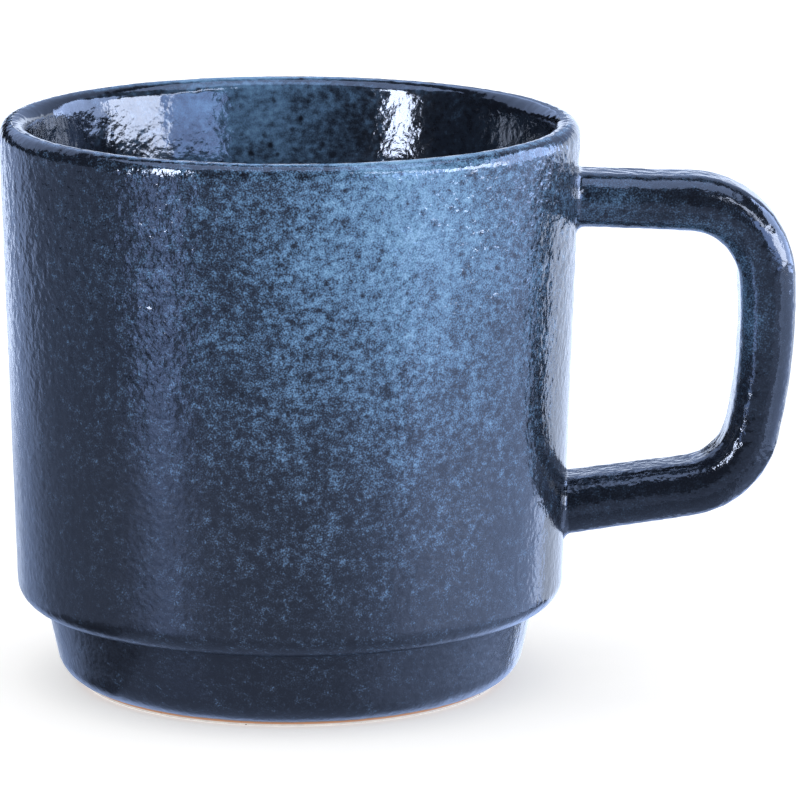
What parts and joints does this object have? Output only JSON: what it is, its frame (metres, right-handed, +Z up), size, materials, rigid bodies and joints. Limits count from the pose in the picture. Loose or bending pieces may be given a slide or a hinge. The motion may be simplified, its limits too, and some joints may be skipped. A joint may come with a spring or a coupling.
{
  "type": "mug",
  "caption": "Stackable stoneware mug with a slightly tapered wall, a stepped foot, a squared loop handle and a mottled blue reactive glaze.",
  "frame": {"origin": "centre of the foot ring's standing face, on the cup's axis", "axes": "+Z up along the cup's axis, +X towards the handle, so the handle's loop lies in the XZ plane"},
  "size_m": [0.1182, 0.086, 0.0846],
  "materials": {
    "stoneware": "bare fired stoneware, pale, fine-grained and matte, toasted orange-brown where it meets the glaze",
    "handle_stoneware": "bare fired stoneware under the glaze",
    "slip": "fired slip of the same clay",
    "outer_glaze": "glossy blue-black glaze with fine orange peel, mottled light blue where the second coat was sprayed",
    "liner_glaze": "glossy mottled mid-blue glaze over blue-black, rippled",
    "handle_glaze": "glossy blue-black glaze with fine orange peel",
    "recess_glaze": "blue-black glaze, slightly thinner and drier"
  },
  "bodies": {
    "root": {"cup_body": "stoneware", "handle": "handle_stoneware", "upper_handle_slip_joint": "slip", "lower_handle_slip_joint": "slip", "outer_glaze": "outer_glaze", "liner_glaze": "liner_glaze", "handle_glaze": "handle_glaze", "recess_glaze": "recess_glaze"}
  },
  "joints": []
}
